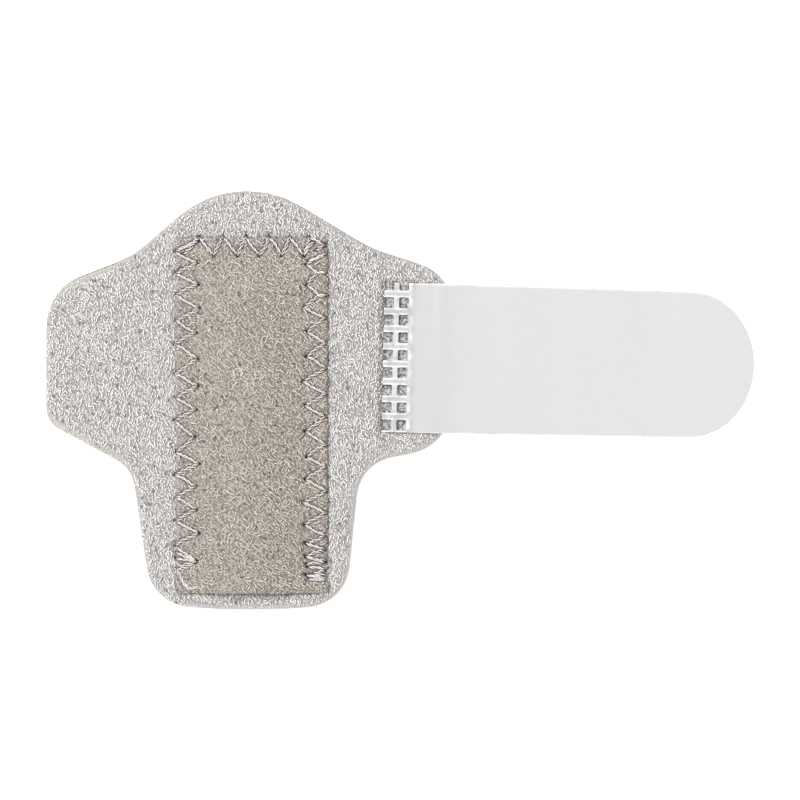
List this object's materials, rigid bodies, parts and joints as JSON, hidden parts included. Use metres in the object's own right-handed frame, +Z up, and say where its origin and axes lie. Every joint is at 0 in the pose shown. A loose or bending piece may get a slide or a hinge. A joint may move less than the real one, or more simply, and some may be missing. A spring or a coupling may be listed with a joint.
{
  "type": "finger splint",
  "caption": "Foam finger splint lying open: a winged grey loop-fabric pad with a sewn taupe stay pocket and a welded white hook strap.",
  "frame": {"origin": "middle of the splint's box in X and Y, on the surface that the pad's lining lies on", "axes": "+X towards the strap's free end, +Y towards the pad's rounded crown, +Z up, away from the surface"},
  "size_m": [0.1182, 0.0698, 0.0056],
  "materials": {
    "face_fabric": "brushed loop knit, warm light grey",
    "foam": "open cell foam, cream",
    "lining": "smooth dark grey knit",
    "pocket": "taupe loop tape with a curly pile",
    "strap": "smooth satin white tape back",
    "hooks": "white moulded hooks"
  },
  "bodies": {
    "root": {"back_lining": "lining", "foam_core": "foam", "face_fabric": "face_fabric", "stay_pocket": "pocket", "hook_strap": "strap", "hook_field": "hooks"}
  },
  "joints": []
}
